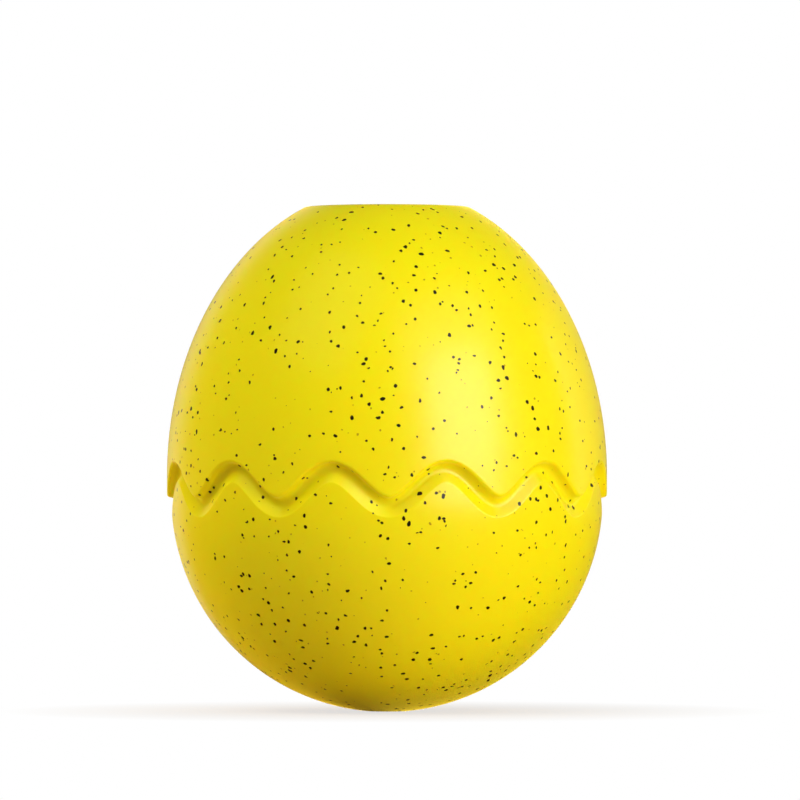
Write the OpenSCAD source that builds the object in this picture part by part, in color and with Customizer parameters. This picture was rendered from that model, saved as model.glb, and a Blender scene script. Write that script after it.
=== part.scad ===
// Egg-shaped feeder toy, moulded in one piece with thick soft walls.
// A round bowl below and a taller dome above, set a little proud of the bowl, meet at a
// wavy groove that runs round the egg like the crack in a hatching shell. The dome is open
// at the top, where a rounded lip leads into the hollow. A small vent goes through the floor.
// Millimetres. The origin is the middle of the flat that the egg stands on, and +Z is its axis.

/* [Outside] */
// Width across the dome at its widest ring
dome_w = 90; // [84:0.5:110]
// Height from the dome's widest ring to where its curve would close
dome_h = 59; // [50:0.5:75]
// Depth from the bowl's widest ring to where its curve would close
bowl_h = 44.2; // [40:0.1:56]
// Height between the widest rings of the bowl and the dome
band_h = 4.3; // [3:0.1:7]
// How far the bowl is set back behind the dome
setback = 0.85; // [0.5:0.05:1.2]
// Diameter of the flat that the egg stands on
foot_d = 8; // [7:0.1:12]

/* [Inside] */
// Thickness of the bowl's wall at its widest ring
wall = 6; // [5:0.1:8]
// Thickness of the dome's wall towards the mouth
crown_wall = 5; // [5:0.1:7]
// Thickness of the floor
floor_t = 18; // [12:0.5:22]
// Diameter of the vent through the floor
vent_d = 5; // [3:0.1:6]

/* [Mouth] */
// Diameter of the mouth's throat
mouth_d = 27; // [20:0.5:34]
// Radius of the lip round the mouth
lip_r = 2.5; // [1.5:0.1:3]
// Radius of the edge where the throat opens into the hollow
throat_r = 1.5; // [0.8:0.1:1.6]

/* [Groove] */
// Number of waves round the egg
waves = 12; // [6:1:13]
// Height of a crest above the wave's middle line
wave_rise = 3.5; // [2:0.05:3.8]
// Height of the wave's middle line over the bowl's widest ring
groove_z = 1.3; // [0.5:0.05:3]
// Width of the groove, measured square to its run
groove_w = 4.1; // [3:0.05:4.4]
// Depth behind the dome at which the groove's wall and bevel would meet
root_depth = 2.9; // [2.8:0.05:3.3]
// How far that root lies below the dome's edge, measured square to the groove's run
root_drop = 0.7; // [0.6:0.05:1]
// Radius of the cove that rounds the root
cove_r = 1.4; // [0.8:0.1:1.5]
// Radius of the dome's lower edge
dome_edge_r = 0.65; // [0.4:0.05:0.7]
// Radius of the bowl's upper edge
bowl_edge_r = 0.6; // [0.4:0.05:0.9]

/* [Hidden] */

dome_r = dome_w / 2;
bowl_r = dome_r - setback;
hollow_r = bowl_r - wall;
foot_r = foot_d / 2;
mouth_r = mouth_d / 2;

// The bowl's curve is cut off where it is as wide as the foot, so its ring lies that much lower.
foot_angle = acos(foot_r / bowl_r);
bowl_z = bowl_h * sin(foot_angle);
dome_z = bowl_z + band_h;
hollow_low = bowl_z - floor_t;
hollow_high = dome_h - crown_wall;

// Curves are drawn in steps of about this many degrees, and the lip's turns in coarser ones
curve_step = 4;
lip_step = 15;
// Sections of the groove in each wave, and steps in the rounding of its edges and its root
wave_steps = 16;
stations = waves * wave_steps;
dome_edge_steps = 3;
bowl_edge_steps = 2;
cove_steps = 5;
// Distance over which a wall's own direction is taken, where an edge of the groove is rounded
along = 1;
// How far a cutting solid reaches past the surface that it cuts, and how far the groove's does,
// which has to stay narrower than the wave's tightest bend
past = 1.5;
clear = 0.25;
$fn = 144;

// The point at angle t on an ellipse that is centred on the axis at height z
function on_curve(a, b, z, t) = [a * cos(t), z + b * sin(t)];

// The direction straight out of that ellipse at angle t, as a unit vector
function normal(a, b, t) = [b * cos(t), a * sin(t)] / norm([b * cos(t), a * sin(t)]);

// An ellipse's points from one angle to another, both ends included
function curve(a, b, z, from, to) =
    let (n = ceil(abs(to - from) / curve_step))
    [for (i = [0:n]) on_curve(a, b, z, from + (to - from) * i / n)];

// The angle at which a fillet of radius r, tangent to the throat, touches the ellipse. The
// fillet lies inside the ellipse for side = -1 and outside for side = 1. Each pass comes closer.
function fillet_angle(a, b, r, side, t = 65, passes = 12) =
    passes == 0 ? t :
    fillet_angle(a, b, r, side, acos((mouth_r + r - side * r * normal(a, b, t)[0]) / a), passes - 1);

// A fillet's points from one direction to another, both ends included
function fillet(centre, r, from, to) =
    let (n = ceil(abs(to - from) / lip_step))
    [for (i = [0:n]) let (d = from + (to - from) * i / n) centre + r * [cos(d), sin(d)]];

lip_angle = fillet_angle(dome_r, dome_h, lip_r, -1);
lip_dir = normal(dome_r, dome_h, lip_angle);
lip_centre = on_curve(dome_r, dome_h, dome_z, lip_angle) - lip_r * lip_dir;
throat_angle = fillet_angle(hollow_r, hollow_high, throat_r, 1);
throat_dir = normal(hollow_r, hollow_high, throat_angle);
throat_centre = on_curve(hollow_r, hollow_high, dome_z, throat_angle) + throat_r * throat_dir;

// Height of the groove's middle line at angle a, and how steeply it climbs there. A trough
// faces front, along -Y.
function wave_z(a) = bowl_z + groove_z - wave_rise * cos(waves * (a + 90));
function wave_slope(a) = atan(wave_rise * waves * sin(waves * (a + 90)) / dome_r);
groove_top = bowl_z + groove_z + wave_rise + groove_w / 2;
groove_bottom = bowl_z + groove_z - wave_rise - groove_w / 2;

// The bowl's radius at height z
function bowl_radius(z) = z < bowl_z ? bowl_r * sqrt(1 - pow((z - bowl_z) / bowl_h, 2)) : bowl_r;

// The dome's radius at height z
function dome_radius(z) = z > dome_z ? dome_r * sqrt(1 - pow((z - dome_z) / dome_h, 2)) : dome_r;

// The points of an arc of radius r that rounds the corner q between p and s, in n steps
function rounded(p, q, s, r, n) =
    let (to_p = (p - q) / norm(p - q), to_s = (s - q) / norm(s - q))
    let (half = acos(to_p * to_s) / 2, between = (to_p + to_s) / norm(to_p + to_s))
    let (centre = q + between * r / sin(half), from = q + to_p * r / tan(half) - centre)
    let (start = atan2(from[1], from[0]), turn = sign(cross(to_s, to_p)) * (180 - 2 * half))
    [for (i = [0:n]) let (d = start + turn * i / n) centre + r * [cos(d), sin(d)]];

// The groove is drawn square to the wave's run: a point is its radius and its distance v across
// the groove from the middle line. These are the points of the dome and the bowl at v.
function on_dome(a, v) = [dome_radius(wave_z(a) + v * cos(wave_slope(a))), v];
function on_bowl(a, v) = [bowl_radius(wave_z(a) + v * cos(wave_slope(a))), v];

// A list without its first point, and the same list with its line carried on by half a step
function after_first(list) = [for (i = [1:len(list) - 1]) list[i]];
function led_in(list) = concat([list[0] + (list[0] - list[1]) / 2], after_first(list));

// The groove's section at angle a: the dome's rounded edge, a steep wall that goes in under it, a
// cove, a long bevel that comes out again, and the bowl's edge. Both ends run clear outside.
function groove_section(a) =
    let (half = groove_w / 2, top = on_dome(a, half), low = on_bowl(a, -half))
    let (above = on_dome(a, half + along), below = on_bowl(a, -half - along))
    let (root = [top[0] - root_depth, half - root_drop])
    let (dome_edge = led_in(rounded(above, top, root, dome_edge_r, dome_edge_steps)))
    let (bowl_edge = led_in(rounded(below, low, root, bowl_edge_r, bowl_edge_steps)))
    concat(
        [[dome_r + clear, dome_edge[0][1] + clear]],
        dome_edge,
        rounded(top, root, low, cove_r, cove_steps),
        [for (i = [bowl_edge_steps:-1:0]) bowl_edge[i]],
        [[dome_r + clear, bowl_edge[0][1] - clear]]
    );

// A point of that section, set square to the wave's run at angle a
function across_wave(a, p) =
    let (slope = wave_slope(a), turned = a - p[1] * sin(slope) / dome_r * 180 / PI)
    [p[0] * cos(turned), p[0] * sin(turned), wave_z(a) + p[1] * cos(slope)];

// The bowl, solid, carried up inside the dome
module bowl() {
    rotate_extrude()
        polygon(concat(
            [[0, 0]],
            curve(bowl_r, bowl_h, bowl_z, -foot_angle, 0),
            [[bowl_r, groove_top + past], [0, groove_top + past]]
        ));
}

// The dome, solid, with its lip rolled over towards the mouth
module dome() {
    rotate_extrude()
        polygon(concat(
            [[0, groove_bottom], [dome_r, groove_bottom]],
            curve(dome_r, dome_h, dome_z, 0, lip_angle),
            fillet(lip_centre, lip_r, atan2(lip_dir[1], lip_dir[0]), 180),
            [[0, lip_centre[1]]]
        ));
}

// Everything above the middle of the groove. Its wavy lower face opens out from the axis and
// stays inside the groove, so that the groove alone cuts the dome's edge and the bowl's.
module above_groove() {
    reach = dome_r + 2 * past;
    grow = reach / bowl_r;
    base = bowl_z + groove_z;
    top = lip_centre[1] + lip_r + past;
    angles = [for (i = [0:stations - 1]) 360 * i / stations];
    low = [for (a = angles) [reach * cos(a), reach * sin(a), base + grow * (wave_z(a) - base)]];
    high = [for (p = low) [p[0], p[1], top]];
    faces = [for (i = [0:stations - 1]) let (j = (i + 1) % stations) each [
        [i, j, 2 * stations],
        [i, stations + j, j],
        [i, stations + i, stations + j],
        [stations + i, 2 * stations + 1, stations + j]
    ]];
    polyhedron(concat(low, high, [[0, 0, base], [0, 0, top]]), faces);
}

// The solid that cuts the groove: its section carried round the egg along the wave
module groove() {
    angles = [for (i = [0:stations - 1]) 360 * i / stations];
    points = [for (a = angles) for (p = groove_section(a)) across_wave(a, p)];
    sides = len(points) / stations;
    faces = [for (i = [0:stations - 1]) for (k = [0:sides - 1])
        let (here = i * sides, next = (i + 1) % stations * sides, m = (k + 1) % sides)
        each [
            [here + k, next + m, next + k],
            [here + k, here + m, next + m]
        ]];
    polyhedron(points, faces);
}

// The hollow, its throat and the vent under it
module hollow() {
    rotate_extrude()
        polygon(concat(
            curve(hollow_r, hollow_low, bowl_z, -90, 0),
            curve(hollow_r, hollow_high, dome_z, 0, throat_angle),
            fillet(throat_centre, throat_r, atan2(-throat_dir[1], -throat_dir[0]) + 360, 180),
            [[mouth_r, lip_centre[1] + lip_r + past], [0, lip_centre[1] + lip_r + past]]
        ));
    translate([0, 0, -past])
        cylinder(h = floor_t + 2 * past, d = vent_d);
}

// The whole moulding
module egg_moulding() {
    color("#f0e015")
        difference() {
            union() {
                bowl();
                intersection() {
                    dome();
                    above_groove();
                }
            }
            groove();
            hollow();
        }
}

egg_moulding();
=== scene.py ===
"""Slow feeder egg: looks, stage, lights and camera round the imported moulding.

The egg is one hollow rubber moulding. It is drawn here as one closed skin that follows the same
dimensions as the solid, finer at the groove, the lip and the vent. Lengths are in metres, and a
value in millimetres is multiplied by MM.
"""
import math

import bpy
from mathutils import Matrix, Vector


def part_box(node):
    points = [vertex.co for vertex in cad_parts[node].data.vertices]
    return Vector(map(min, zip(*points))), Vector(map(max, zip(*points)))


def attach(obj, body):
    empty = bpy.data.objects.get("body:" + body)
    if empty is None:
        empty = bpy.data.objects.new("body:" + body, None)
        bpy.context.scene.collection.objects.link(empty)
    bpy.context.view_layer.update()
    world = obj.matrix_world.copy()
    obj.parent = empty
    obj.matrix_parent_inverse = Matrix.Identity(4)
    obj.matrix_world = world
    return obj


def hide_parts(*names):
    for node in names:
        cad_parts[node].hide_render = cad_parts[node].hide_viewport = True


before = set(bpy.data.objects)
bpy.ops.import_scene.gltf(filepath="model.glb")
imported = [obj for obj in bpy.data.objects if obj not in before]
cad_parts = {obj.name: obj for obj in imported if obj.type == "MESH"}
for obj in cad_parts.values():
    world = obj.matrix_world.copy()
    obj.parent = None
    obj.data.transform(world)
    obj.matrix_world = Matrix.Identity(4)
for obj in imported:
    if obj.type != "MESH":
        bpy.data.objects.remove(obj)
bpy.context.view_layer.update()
MM = 0.001

# The egg: a hollow feeder toy of thick natural rubber, compression moulded in one piece. A wavy
# groove runs round it between the bowl below and the dome above, whose edge stands a little
# proud. The dome ends in a rolled lip round the mouth, and a small vent goes through the floor.
egg_low, egg_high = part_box("egg_moulding")
DOME_R = (egg_high.x - egg_low.x) / 2
DOME_H = 59 * MM
SETBACK = 0.85 * MM
BOWL_R = DOME_R - SETBACK
BOWL_H = 44.2 * MM
FOOT_R = 4 * MM
BAND_H = 4.3 * MM
BOWL_Z = BOWL_H * math.sqrt(1 - (FOOT_R / BOWL_R) ** 2)
DOME_Z = BOWL_Z + BAND_H
WALL = 6 * MM
CROWN_WALL = 5 * MM
FLOOR_T = 18 * MM
HOLLOW_R = BOWL_R - WALL
HOLLOW_LOW = BOWL_Z - FLOOR_T
HOLLOW_HIGH = DOME_H - CROWN_WALL
VENT_R = 2.5 * MM
VENT_EDGE_R = 0.4 * MM
MOUTH_R = 13.5 * MM
LIP_R = 2.5 * MM
THROAT_EDGE_R = 1.5 * MM

WAVES = 12
WAVE_RISE = 3.5 * MM
WAVE_OVER_BOWL = 1.3 * MM
WAVE_Z = BOWL_Z + WAVE_OVER_BOWL
GROOVE_W = 4.1 * MM
ROOT_DEPTH = 2.9 * MM
ROOT_DROP = 0.7 * MM
COVE_R = 1.4 * MM
DOME_EDGE_R = 0.65 * MM
BOWL_EDGE_R = 0.6 * MM
# Distance over which a wall's own direction is taken, where an edge of the groove is rounded
ALONG = 1 * MM


def on_ellipse(half_width, half_height, centre_z, angle):
    """The point at an angle on an ellipse that is centred on the egg's axis."""
    return half_width * math.cos(angle), centre_z + half_height * math.sin(angle)


def ellipse_out(half_width, half_height, angle):
    """The direction straight out of that ellipse, as an angle above the horizon."""
    return math.atan2(half_width * math.sin(angle), half_height * math.cos(angle))


def steps(start, end, count):
    """Evenly spaced values from start to end, both included."""
    return [start + (end - start) * i / count for i in range(count + 1)]


def ellipse_line(half_width, half_height, centre_z, start, end, count):
    """Points along an ellipse from one angle to another."""
    return [on_ellipse(half_width, half_height, centre_z, t) for t in steps(start, end, count)]


def arc(centre, radius, start, end, count):
    """Points along a circle from one direction to another."""
    return [
        (centre[0] + radius * math.cos(d), centre[1] + radius * math.sin(d))
        for d in steps(start, end, count)
    ]


def between(start, end, count):
    """The points inside a straight line, without its ends."""
    return [
        (start[0] + (end[0] - start[0]) * i / count, start[1] + (end[1] - start[1]) * i / count)
        for i in range(1, count)
    ]


def growing(count, growth):
    """Shares of a length from 0 to 1, with steps that grow by the same factor."""
    return [(growth ** i - 1) / (growth ** count - 1) for i in range(count + 1)]


def rounded_corner(before, corner, after, radius, count):
    """The arc that rounds a corner between the points before and after it."""
    to_before = math.atan2(before[1] - corner[1], before[0] - corner[0])
    to_after = math.atan2(after[1] - corner[1], after[0] - corner[0])
    opening = (to_after - to_before + math.pi) % (2 * math.pi) - math.pi
    middle = to_before + opening / 2
    reach = radius / math.sin(abs(opening) / 2)
    centre = (corner[0] + reach * math.cos(middle), corner[1] + reach * math.sin(middle))
    turn = math.copysign(math.pi - abs(opening), -opening)
    first = to_before - math.copysign(math.pi / 2, opening)
    return arc(centre, radius, first, first + turn, count)


# Where the search for the lip's touching point starts, and how often it comes closer
TOUCH_START = math.radians(65)
TOUCH_PASSES = 20


def lip_touch(half_width, half_height, radius, side):
    """The angle on an ellipse where a lip's arc, tangent to the throat, touches it."""
    angle = TOUCH_START
    for _ in range(TOUCH_PASSES):
        out = ellipse_out(half_width, half_height, angle)
        angle = math.acos((MOUTH_R + radius - side * radius * math.cos(out)) / half_width)
    return angle


def lip_arc(half_width, half_height, centre_z, radius, side, count):
    """The arc from an ellipse over to the throat, and the angle at which it starts. It lies
    outside the wall for side -1 and inside for 1."""
    angle = lip_touch(half_width, half_height, radius, side)
    out = ellipse_out(half_width, half_height, angle)
    touch = on_ellipse(half_width, half_height, centre_z, angle)
    centre = (touch[0] + side * radius * math.cos(out), touch[1] + side * radius * math.sin(out))
    if side < 0:
        return angle, arc(centre, radius, out, math.pi, count)
    return angle, arc(centre, radius, out + math.pi, math.pi, count)


def bowl_skin(z):
    """The bowl's outside radius at a height."""
    if z > BOWL_Z:
        return BOWL_R
    return BOWL_R * math.sqrt(1 - ((BOWL_Z - z) / BOWL_H) ** 2)


def dome_skin(z):
    """The dome's outside radius at a height."""
    if z < DOME_Z:
        return DOME_R
    return DOME_R * math.sqrt(1 - ((z - DOME_Z) / DOME_H) ** 2)


def wave(turn):
    """The height of the groove's middle line and its slope. A trough faces the front, along -Y."""
    phase = WAVES * (turn + math.pi / 2)
    height = WAVE_Z - WAVE_RISE * math.cos(phase)
    slope = math.atan(WAVE_RISE * WAVES * math.sin(phase) / DOME_R)
    return height, slope


# Steps in the parts of the groove's section, from the bowl's edge up to the dome's
BOWL_EDGE_STEPS = 6
BEVEL_STEPS = 5
COVE_STEPS = 14
GROOVE_WALL_STEPS = 2
DOME_EDGE_STEPS = 8


def groove_section(turn):
    """The groove's section, bottom to top, as radius and distance across from its middle line."""
    height, slope = wave(turn)
    reach = GROOVE_W / 2
    beyond = reach + ALONG

    def out_at(across, skin):
        return skin(height + across * math.cos(slope)), across

    below = out_at(-beyond, bowl_skin)
    low = out_at(-reach, bowl_skin)
    high = out_at(reach, dome_skin)
    above = out_at(beyond, dome_skin)
    root = (high[0] - ROOT_DEPTH, reach - ROOT_DROP)
    bowl_edge = rounded_corner(below, low, root, BOWL_EDGE_R, BOWL_EDGE_STEPS)
    cove = rounded_corner(low, root, high, COVE_R, COVE_STEPS)
    dome_edge = rounded_corner(root, high, above, DOME_EDGE_R, DOME_EDGE_STEPS)
    bevel = between(bowl_edge[-1], cove[0], BEVEL_STEPS)
    wall = between(cove[-1], dome_edge[0], GROOVE_WALL_STEPS)
    return bowl_edge + bevel + cove + wall + dome_edge


# Below and above the groove the rings of the skin bend over to the wave within this distance
BEND_BELOW = 17 * MM
BEND_ABOVE = 21 * MM
BEND_ROWS = 24
BEND_GROWTH = 1.14

bowl_ring_z = WAVE_Z - BEND_BELOW
bowl_ring_angle = math.asin((bowl_ring_z - BOWL_Z) / BOWL_H)
foot_angle = -math.acos(FOOT_R / BOWL_R)
dome_ring_z = WAVE_Z + BEND_ABOVE
dome_ring_angle = math.asin((dome_ring_z - DOME_Z) / DOME_H)

# Rings that don't feel the groove, from the vent's head down the vent and out over the foot
VENT_EDGE_STEPS = 4
VENT_BORE_STEPS = 4
BOWL_STEPS = 42

vent_edge_x = VENT_R + VENT_EDGE_R
vent_floor = BOWL_Z - HOLLOW_LOW * math.sqrt(1 - (vent_edge_x / HOLLOW_R) ** 2)
vent_foot = arc(
    (vent_edge_x, VENT_EDGE_R), VENT_EDGE_R, math.pi, 1.5 * math.pi, VENT_EDGE_STEPS
)
vent_head = arc(
    (vent_edge_x, vent_floor - VENT_EDGE_R), VENT_EDGE_R, math.pi / 2, math.pi, VENT_EDGE_STEPS
)
vent_bore = between(vent_head[-1], vent_foot[0], VENT_BORE_STEPS)
bowl_rings = ellipse_line(BOWL_R, BOWL_H, BOWL_Z, foot_angle, bowl_ring_angle, BOWL_STEPS)
below_rings = vent_head + vent_bore + vent_foot + bowl_rings

# Rings from the dome over the lip, through the throat and round the hollow back to the vent
DOME_STEPS = 30
LIP_STEPS = 16
THROAT_WALL_STEPS = 3
THROAT_EDGE_STEPS = 10
CEILING_STEPS = 24
HOLLOW_FLOOR_STEPS = 26

lip_angle, lip = lip_arc(DOME_R, DOME_H, DOME_Z, LIP_R, -1, LIP_STEPS)
throat_angle, throat_edge = lip_arc(
    HOLLOW_R, HOLLOW_HIGH, DOME_Z, THROAT_EDGE_R, 1, THROAT_EDGE_STEPS
)
dome_rings = ellipse_line(DOME_R, DOME_H, DOME_Z, dome_ring_angle, lip_angle, DOME_STEPS)
throat_wall = between(lip[-1], throat_edge[-1], THROAT_WALL_STEPS)
ceiling = ellipse_line(HOLLOW_R, HOLLOW_HIGH, DOME_Z, throat_angle, 0, CEILING_STEPS)
floor_angle = -math.acos(vent_edge_x / HOLLOW_R)
hollow_floor = ellipse_line(HOLLOW_R, HOLLOW_LOW, BOWL_Z, 0, floor_angle, HOLLOW_FLOOR_STEPS)
above_rings = (
    dome_rings + lip[1:] + throat_wall + throat_edge[::-1] + ceiling[1:] + hollow_floor[:-1]
)


def egg_column(turn):
    """One column of the skin, from the vent's head outside over the egg and back to it, as
    radius, turn round the axis and height."""
    height, slope = wave(turn)
    section = [
        (radius, turn - across * math.sin(slope) / DOME_R, height + across * math.cos(slope))
        for radius, across in groove_section(turn)
    ]
    first, last = section[0], section[-1]
    rising = []
    for share in growing(BEND_ROWS, BEND_GROWTH)[-2:0:-1]:
        z = first[2] + (bowl_ring_z - first[2]) * share
        rising.append((bowl_skin(z), first[1] + (turn - first[1]) * share, z))
    leaving = []
    for share in growing(BEND_ROWS, BEND_GROWTH)[1:-1]:
        z = last[2] + (dome_ring_z - last[2]) * share
        leaving.append((dome_skin(z), last[1] + (turn - last[1]) * share, z))
    below = [(radius, turn, z) for radius, z in below_rings]
    above = [(radius, turn, z) for radius, z in above_rings]
    return below + rising + section + leaving + above


COLUMNS_PER_WAVE = 32
COLUMNS = WAVES * COLUMNS_PER_WAVE

points = []
for column in range(COLUMNS):
    for radius, turn, z in egg_column(2 * math.pi * column / COLUMNS):
        points.append((radius * math.cos(turn), radius * math.sin(turn), z))
rows = len(points) // COLUMNS
quads = []
for column in range(COLUMNS):
    here = column * rows
    there = (column + 1) % COLUMNS * rows
    for row in range(rows):
        up = (row + 1) % rows
        quads.append((here + row, there + row, there + up, here + up))
egg_mesh = bpy.data.meshes.new("egg_skin")
egg_mesh.from_pydata(points, [], quads)
egg_mesh.polygons.foreach_set("use_smooth", [True] * len(quads))
egg_mesh.update()
egg = bpy.data.objects.new("egg_skin", egg_mesh)
bpy.context.scene.collection.objects.link(egg)
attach(egg, "root")
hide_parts("egg_moulding")


def srgb(code):
    """A colour in sRGB hex as the linear colour that a shader takes."""
    channels = [int(code[i:i + 2], 16) / 255 for i in (1, 3, 5)]
    linear = [c / 12.92 if c <= 0.04045 else ((c + 0.055) / 1.055) ** 2.4 for c in channels]
    return (*linear, 1)


def add_node(tree, kind, settings=None, **links):
    """Adds a node. Settings name its own properties, or input sockets by name or number. Links
    give what goes into a socket, with an underscore for a space in the socket's name."""
    node = tree.nodes.new(kind)
    for name, value in (settings or {}).items():
        if isinstance(name, str) and hasattr(node, name):
            setattr(node, name, value)
        else:
            node.inputs[name].default_value = value
    for name, source in links.items():
        socket = int(name[1:]) if name[1:].isdigit() else name.replace("_", " ")
        tree.links.new(source, node.inputs[socket])
    return node


def combine(tree, operation, first, second):
    """One value made of two by a maths operation."""
    return add_node(
        tree, "ShaderNodeMath", {"operation": operation}, _0=first, _1=second
    ).outputs[0]


def unevenness(tree, place, size, detail):
    """A soft noise whose lumps are about as large as size."""
    return add_node(
        tree, "ShaderNodeTexNoise", {"Scale": 1 / size, "Detail": detail}, Vector=place
    )


# Natural rubber, compression moulded in a satin steel mould with dark rubber crumb stirred in.
# The eye sees a clean saturated yellow into which light goes a short way, so that its shade
# stays warm, a soft broad gloss with a very shallow unevenness, and a bright thin rim from a
# fine sheen. Small near-black specks of every shape lie in it, with fainter ones just under it.
rubber = bpy.data.materials.new("compression_moulded_rubber")
rubber.use_nodes = True
tree = rubber.node_tree
tree.nodes.clear()
place = add_node(tree, "ShaderNodeTexCoord").outputs["Object"]

# Crumb outlines are uneven, so the place at which a speck is looked up wanders a little
RAGGED_SIZE = 0.9 * MM
RAGGED_REACH = 0.5 * MM
ragged = unevenness(tree, place, RAGGED_SIZE, 1.0).outputs["Color"]
wander = add_node(
    tree, "ShaderNodeVectorMath", {"operation": "SUBTRACT", 1: (0.5, 0.5, 0.5)}, _0=ragged
).outputs[0]
wander = add_node(
    tree, "ShaderNodeVectorMath", {"operation": "SCALE", "Scale": RAGGED_REACH}, _0=wander
).outputs[0]
uneven_place = add_node(
    tree, "ShaderNodeVectorMath", {"operation": "ADD"}, _0=place, _1=wander
).outputs[0]

# The crumb isn't spread evenly: some patches hold larger specks than others
PATCH_SIZE = 14 * MM
patches = unevenness(tree, place, PATCH_SIZE, 1.0).outputs["Fac"]

# Specks lie one to a cell, and the smallest has this share of the largest one's size
SPECK_CELL = 2.8 * MM
SPECK_SIZE = 0.375 * MM
FAINT_CELL = 2.5 * MM
FAINT_SIZE = 0.24 * MM
SMALLEST_SPECK = 0.66
SPECK_EDGE = 0.01 * MM


def specks(cell, size, turn, stretch, shift):
    """How much of one kind of speck shows at a point, from 0 to 1. Each cell of the pattern holds
    one speck of its own size, stretched along one direction of the turned pattern."""
    turned = add_node(
        tree, "ShaderNodeMapping",
        {"Location": shift, "Rotation": turn, "Scale": stretch},
        Vector=uneven_place,
    ).outputs[0]
    cells = add_node(
        tree, "ShaderNodeTexVoronoi", {"Scale": 1 / cell}, Vector=turned
    )
    chance = add_node(tree, "ShaderNodeSeparateColor", {}, Color=cells.outputs["Color"]).outputs[0]
    chance = add_node(
        tree, "ShaderNodeMapRange", {"To Min": SMALLEST_SPECK, "To Max": 1.0}, Value=chance
    ).outputs[0]
    crowd = add_node(
        tree, "ShaderNodeMapRange",
        {"From Min": 0.35, "From Max": 0.65, "To Min": 0.75, "To Max": 1.15},
        Value=patches,
    ).outputs[0]
    reach = combine(tree, "MULTIPLY", chance, crowd)
    reach = add_node(
        tree, "ShaderNodeMath", {"operation": "MULTIPLY", 1: size / cell}, _0=reach
    ).outputs[0]
    inside = combine(tree, "SUBTRACT", reach, cells.outputs["Distance"])
    edge = SPECK_EDGE / cell
    return add_node(
        tree, "ShaderNodeMapRange", {"From Min": -edge, "From Max": edge}, Value=inside
    ).outputs[0]


# Three layers of dark specks, each turned, stretched and shifted on its own, and a faint one
dark = None
for turn, stretch, shift in (
    ((0.3, 0.8, 0.1), (1.0, 1.0, 0.7), (0.011, 0.023, 0.037)),
    ((1.1, 0.2, 0.9), (0.7, 1.0, 1.0), (0.031, 0.007, 0.053)),
    ((0.7, 1.4, 0.5), (1.0, 0.8, 0.95), (0.043, 0.067, 0.002)),
):
    layer = specks(SPECK_CELL, SPECK_SIZE, turn, stretch, shift)
    if dark is not None:
        layer = combine(tree, "MAXIMUM", dark, layer)
    dark = layer
faint = specks(FAINT_CELL, FAINT_SIZE, (0.2, 0.4, 1.3), (1, 1, 1), (0.019, 0.041, 0.013))

# The yellow itself varies a little from batch marks in the mixed rubber
BATCH_SIZE = 22 * MM
mixed = unevenness(tree, place, BATCH_SIZE, 3.0).outputs["Fac"]
yellow = add_node(
    tree, "ShaderNodeMix",
    {"data_type": "RGBA", 6: srgb("#f0e806"), 7: srgb("#eeec0c")},
    _0=mixed,
).outputs[2]
tinged = add_node(
    tree, "ShaderNodeMix", {"data_type": "RGBA", 7: srgb("#b7a50c")}, _0=faint, _6=yellow
).outputs[2]
colour = add_node(
    tree, "ShaderNodeMix", {"data_type": "RGBA", 7: srgb("#0b0903")}, _0=dark, _6=tinged
).outputs[2]

# A very shallow unevenness of the moulded skin, drawn coarser than the real one so that it shows
GRAIN_SIZE = 1.6 * MM
GRAIN_DEPTH = 0.02 * MM
skin = unevenness(tree, place, GRAIN_SIZE, 2.0).outputs["Fac"]
bump = add_node(
    tree, "ShaderNodeBump", {"Strength": 0.25, "Distance": GRAIN_DEPTH}, Height=skin
).outputs[0]

# The crumb is opaque and lies bare in the skin, so it takes no sheen
sheen = add_node(
    tree, "ShaderNodeMapRange", {"To Min": 1.0, "To Max": 0.0}, Value=dark
).outputs[0]
LIGHT_DEPTH = 3 * MM
surface = add_node(
    tree, "ShaderNodeBsdfPrincipled",
    {
        "Roughness": 0.28,
        "IOR": 1.5,
        "Specular IOR Level": 0.9,
        "Subsurface Weight": 0.5,
        "Subsurface Radius": (1.0, 0.4, 0.1),
        "Subsurface Scale": LIGHT_DEPTH,
        "Sheen Roughness": 0.34,
        "Sheen Tint": srgb("#fff04a"),
    },
    Base_Color=colour,
    Sheen_Weight=sheen,
    Normal=bump,
).outputs[0]
add_node(tree, "ShaderNodeOutputMaterial", {}, Surface=surface)
egg_mesh.materials.append(rubber)

# The stage: a plain pale floor that keeps the egg's shadow, in front of a white background
FLOOR_HALF = 4.0
floor_mesh = bpy.data.meshes.new("floor")
floor_mesh.from_pydata(
    [
        (-FLOOR_HALF, -FLOOR_HALF, 0),
        (FLOOR_HALF, -FLOOR_HALF, 0),
        (FLOOR_HALF, FLOOR_HALF, 0),
        (-FLOOR_HALF, FLOOR_HALF, 0),
    ],
    [],
    [(0, 1, 2, 3)],
)
floor = bpy.data.objects.new("floor", floor_mesh)
bpy.context.scene.collection.objects.link(floor)

# The gloss finds a backdrop behind the egg and a little to the left, most of the way to white
BACKDROP_SIDE = (-0.2, 0.98, 0)
BACKDROP_WHITE = 0.7


def towards_backdrop(tree, direction, start):
    """How white the gloss finds a direction. It begins at start, as a share of facing the
    backdrop, and is most where the direction faces it fully."""
    facing = add_node(
        tree, "ShaderNodeVectorMath", {"operation": "DOT_PRODUCT", 1: BACKDROP_SIDE}, _0=direction
    ).outputs["Value"]
    return add_node(
        tree, "ShaderNodeMapRange",
        {"From Min": start, "From Max": 1.0, "To Max": BACKDROP_WHITE},
        Value=facing,
    ).outputs[0]


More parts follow.
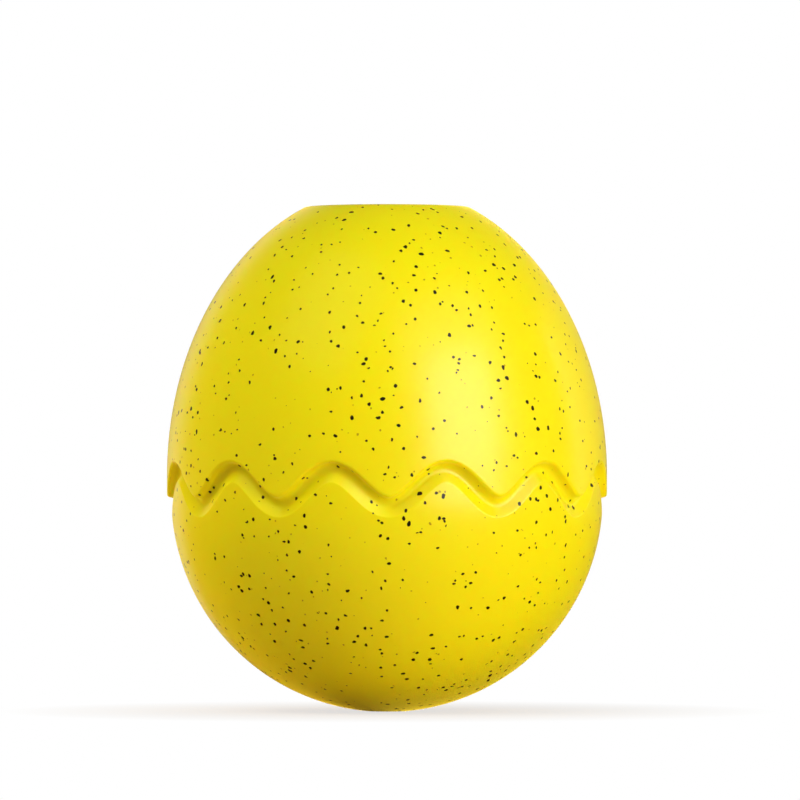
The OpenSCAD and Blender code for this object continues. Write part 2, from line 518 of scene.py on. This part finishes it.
# Matt paper of a warm pale tone, which lights the egg from below. The camera sees plain white
# away from the egg, and some of the paper's own shading in the shadow round the foot.
paper = bpy.data.materials.new("matt_warm_paper")
paper.use_nodes = True
tree = paper.node_tree
tree.nodes.clear()
matt = add_node(
    tree, "ShaderNodeBsdfDiffuse", {"Color": srgb("#ccb490")}
).outputs[0]
spot = add_node(tree, "ShaderNodeTexCoord").outputs["Object"]
away = add_node(
    tree, "ShaderNodeVectorMath", {"operation": "LENGTH"}, _0=spot
).outputs["Value"]
SHADOW_CORE = 0.02
SHADOW_END = 0.08
share = add_node(
    tree, "ShaderNodeMapRange",
    {"From Min": SHADOW_CORE, "From Max": SHADOW_END, "To Min": 0.7, "To Max": 1.0},
    Value=away,
).outputs[0]
rays = add_node(tree, "ShaderNodeLightPath")
seen = combine(
    tree, "MAXIMUM", rays.outputs["Is Camera Ray"], rays.outputs["Is Transmission Ray"]
)
share = add_node(
    tree, "ShaderNodeMath", {"operation": "MULTIPLY_ADD"},
    _0=share, _1=seen, _2=rays.outputs["Is Glossy Ray"],
).outputs[0]

# In the gloss the paper is pale behind the egg, as the backdrop is, and dark elsewhere
GLOSS_START = 0.012
GLOSS_FULL = 0.1
behind = add_node(
    tree, "ShaderNodeVectorMath", {"operation": "NORMALIZE"}, _0=spot
).outputs[0]
behind = towards_backdrop(tree, behind, 0.8)
further = add_node(
    tree, "ShaderNodeMapRange", {"From Min": GLOSS_START, "From Max": GLOSS_FULL}, Value=away
).outputs[0]
behind = combine(tree, "MULTIPLY", behind, further)
behind = combine(tree, "MULTIPLY", rays.outputs["Is Glossy Ray"], behind)
seen = combine(tree, "MAXIMUM", seen, behind)
glow = add_node(
    tree, "ShaderNodeEmission", {"Color": (1, 1, 1, 1)}, Strength=seen
).outputs[0]
lit = add_node(tree, "ShaderNodeMixShader", {}, _0=share, _1=matt, _2=glow).outputs[0]
add_node(tree, "ShaderNodeOutputMaterial", {}, Surface=lit)
floor_mesh.materials.append(paper)

# The air: the camera sees plain white. In the gloss there is a pale backdrop behind the egg and
# a dim room in front, and a little warm light comes from everywhere.
world = bpy.data.worlds.new("studio")
bpy.context.scene.world = world
world.use_nodes = True
tree = world.node_tree
tree.nodes.clear()
rays = add_node(tree, "ShaderNodeLightPath")
direction = add_node(tree, "ShaderNodeTexCoord").outputs["Generated"]
backdrop = towards_backdrop(tree, direction, 0.78)
backdrop = combine(tree, "MULTIPLY", backdrop, rays.outputs["Is Glossy Ray"])
seen = combine(tree, "MAXIMUM", rays.outputs["Is Camera Ray"], backdrop)
seen = combine(tree, "MAXIMUM", seen, rays.outputs["Is Transmission Ray"])
fill = add_node(
    tree, "ShaderNodeBackground", {"Color": srgb("#ffd9b0"), "Strength": 0.03}
).outputs[0]
room = add_node(
    tree, "ShaderNodeBackground", {"Color": (1, 1, 1, 1), "Strength": 0.05}
).outputs[0]
unseen = add_node(
    tree, "ShaderNodeMixShader", {}, _0=rays.outputs["Is Glossy Ray"], _1=fill, _2=room
).outputs[0]
white = add_node(
    tree, "ShaderNodeBackground", {"Color": (1, 1, 1, 1), "Strength": 1.0}
).outputs[0]
air = add_node(tree, "ShaderNodeMixShader", {}, _0=seen, _1=unseen, _2=white).outputs[0]
add_node(tree, "ShaderNodeOutputWorld", {}, Surface=air)


def softbox(name, azimuth, elevation, distance, width, height, power, colour, gloss):
    """A rectangular studio lamp that faces the egg's middle. Azimuth is in degrees to the right
    of the front, seen from the camera. A fill or rim lamp stays out of the gloss."""
    lamp = bpy.data.lights.new(name, "AREA")
    lamp.shape = "RECTANGLE"
    lamp.size = width
    lamp.size_y = height
    lamp.energy = power
    lamp.color = srgb(colour)[:3]
    holder = bpy.data.objects.new(name, lamp)
    holder.visible_glossy = gloss
    bpy.context.scene.collection.objects.link(holder)
    turn = math.radians(azimuth)
    lift = math.radians(elevation)
    holder.location = (
        distance * math.sin(turn) * math.cos(lift),
        -distance * math.cos(turn) * math.cos(lift),
        egg_high.z / 2 + distance * math.sin(lift),
    )
    holder.rotation_euler = (math.pi / 2 - lift, 0, turn)


# A soft key from the front right with a wider, weaker one round it, and a strip at the right.
# The rest is even light: a high fill on the left, a rim lamp on each side and low fills in front.
softbox("key_softbox", 41, 16, 0.8, 0.5, 0.6, 1.7, "#ffffff", True)
softbox("key_diffuser", 43, 26, 0.82, 0.85, 1.0, 0.95, "#ffffff", True)
softbox("right_strip", 117, 0, 0.7, 0.1, 0.7, 0.14, "#ffffff", True)
softbox("left_fill", -50, 54, 1.0, 0.8, 0.8, 7.2, "#fffaf4", False)
softbox("right_rim", 140, 0, 0.9, 0.4, 0.9, 7.1, "#fff2d8", False)
softbox("low_left_rim", -125, -2, 0.7, 0.6, 0.05, 4.2, "#ffe0b4", False)
softbox("low_right_fill", 70, -3, 0.7, 0.6, 0.05, 2.5, "#fff0dc", False)
softbox("low_front_fill", 30, -3, 0.7, 0.6, 0.05, 2.1, "#ffe2c4", False)

# The camera stands level with the groove, far off with a long lens, and its frame is shifted so
# that the egg lies where it lies in the photograph
FRAME_PX = 800
METRES_PER_PX = 0.2046 * MM
EGG_MIDDLE_PX = 387
FOOT_PX = 711.0
CAMERA_DISTANCE = 1.6
CAMERA_TURN = math.radians(-0.5)
SENSOR_W = 36.0
CLIP_NEAR = 0.05
CLIP_FAR = 20
camera_data = bpy.data.cameras.new("camera")
camera_data.sensor_width = SENSOR_W
camera_data.lens = SENSOR_W * CAMERA_DISTANCE / (FRAME_PX * METRES_PER_PX)
camera_data.clip_start = CLIP_NEAR
camera_data.clip_end = CLIP_FAR
camera = bpy.data.objects.new("camera", camera_data)
bpy.context.scene.collection.objects.link(camera)
sideways = (FRAME_PX / 2 - EGG_MIDDLE_PX) * METRES_PER_PX
camera.location = (
    CAMERA_DISTANCE * math.sin(CAMERA_TURN) + sideways * math.cos(CAMERA_TURN),
    -CAMERA_DISTANCE * math.cos(CAMERA_TURN) + sideways * math.sin(CAMERA_TURN),
    WAVE_Z,
)
middle_z = (FOOT_PX - FRAME_PX / 2) * METRES_PER_PX
camera_data.shift_y = (middle_z - WAVE_Z) / (FRAME_PX * METRES_PER_PX)
camera.rotation_euler = (math.pi / 2, 0, CAMERA_TURN)
bpy.context.scene.camera = camera

bpy.context.scene.view_settings.view_transform = "Standard"
